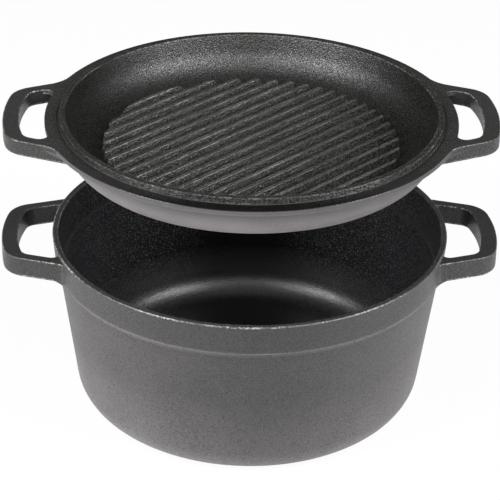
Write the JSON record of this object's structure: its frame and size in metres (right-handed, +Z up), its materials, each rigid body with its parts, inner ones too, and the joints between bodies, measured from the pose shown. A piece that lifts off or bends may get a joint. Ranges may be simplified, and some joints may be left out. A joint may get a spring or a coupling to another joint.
{
  "type": "cast iron combo cooker",
  "caption": "Deep round cast iron pot with loop handles, and a ribbed grill pan that is also its lid, lifted above it grill side up.",
  "frame": {"origin": "centre of the pot's flat base, which is the middle of the bottom of the whole object", "axes": "+Z up, +X along the four loop handles, the camera of the picture looks along +Y from above"},
  "size_m": [0.3264, 0.2652, 0.2046],
  "materials": {
    "pot_iron": "seasoned sand casting, matt",
    "grill_iron": "seasoned sand casting, matt, with a pebbled pan and worn rib tops"
  },
  "bodies": {
    "pot": {"pot": "pot_iron"},
    "grill_lid": {"grill_lid": "grill_iron"}
  },
  "joints": [
    {"name": "lid_lift", "type": "slide", "parent": "pot", "child": "grill_lid", "axis": [0, 0, 1], "range_m": [-0.0705, 0.06]}
  ]
}
